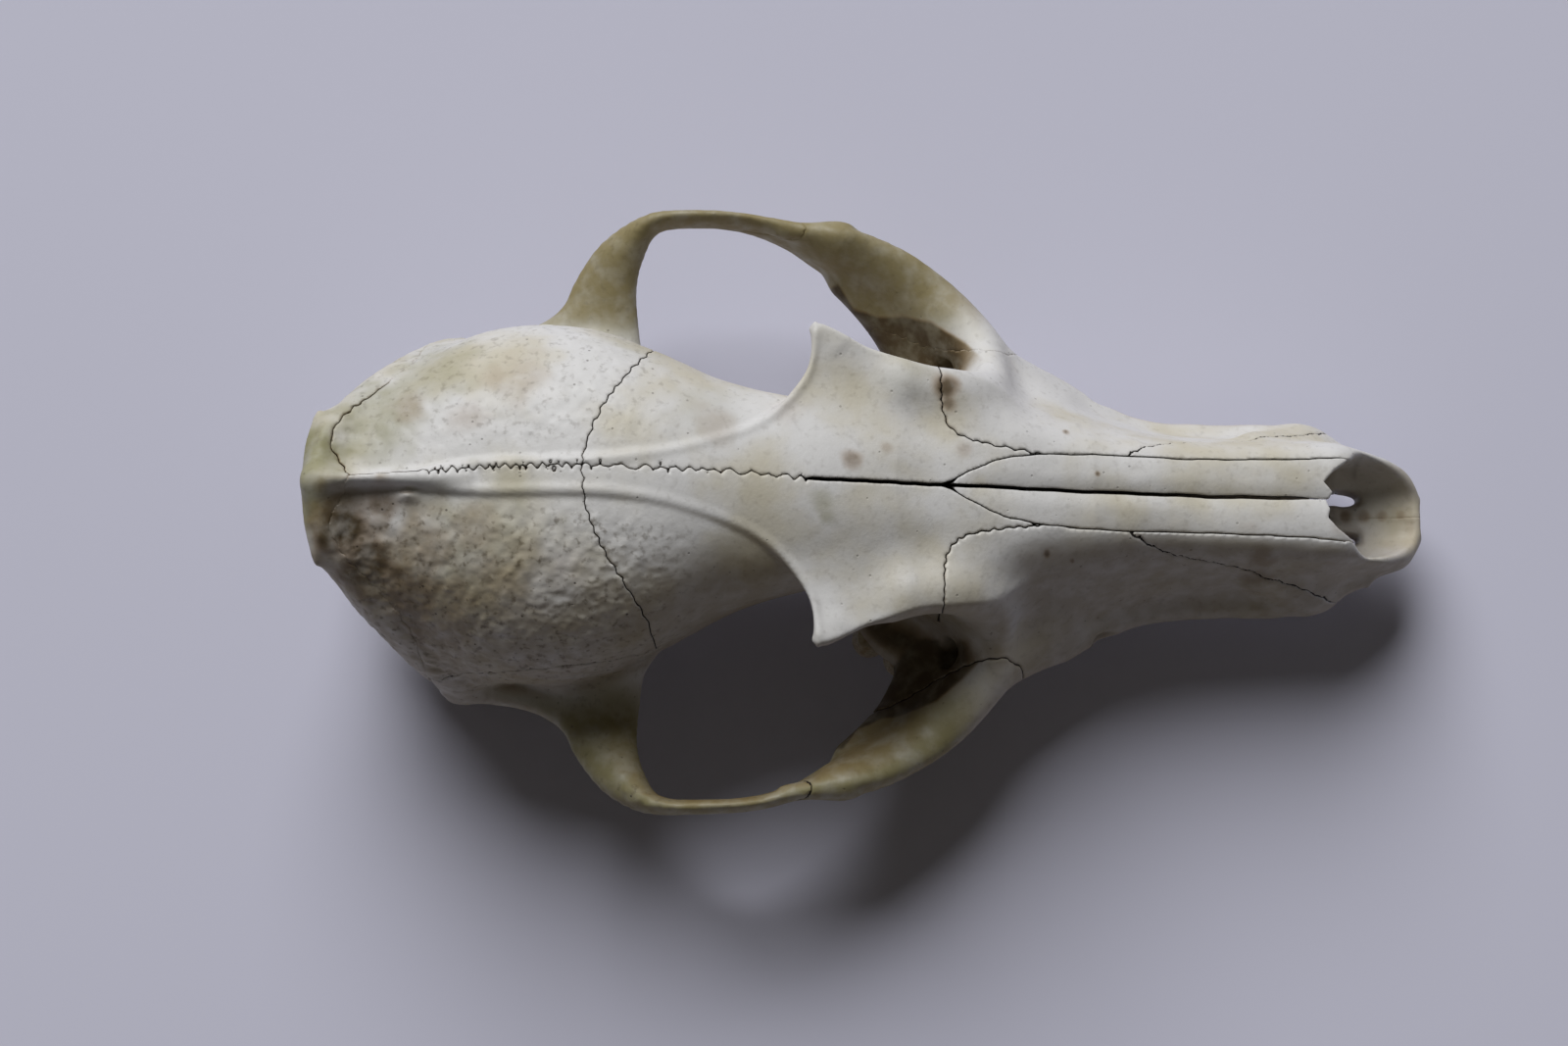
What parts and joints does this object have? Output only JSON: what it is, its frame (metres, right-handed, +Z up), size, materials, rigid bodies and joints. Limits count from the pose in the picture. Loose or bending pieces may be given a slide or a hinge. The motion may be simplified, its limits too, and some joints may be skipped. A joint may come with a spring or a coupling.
{
  "type": "red fox skull",
  "caption": "Skull of a red fox without its lower jaw: long narrow muzzle, round brain case and wide cheek arches, in bones parted by fine sutures.",
  "frame": {"origin": "middle of the skull's length and width, on the table that it rests on", "axes": "+X to the nose, along the skull's length, +Y to the animal's left, +Z up"},
  "size_m": [0.1461, 0.0802, 0.0487],
  "materials": {
    "bone": "dry cleaned bone, smooth on the face and rough on the brain case"
  },
  "bodies": {
    "root": {"occipital": "bone", "basicranium": "bone", "palatine": "bone", "parietal_left": "bone", "parietal_right": "bone", "frontal_left": "bone", "frontal_right": "bone", "nasal_left": "bone", "nasal_right": "bone", "premaxilla_left": "bone", "premaxilla_right": "bone", "maxilla_left": "bone", "maxilla_right": "bone", "jugal_left": "bone", "jugal_right": "bone", "temporal_left": "bone", "temporal_right": "bone", "bulla_left": "bone", "bulla_right": "bone"}
  },
  "joints": []
}
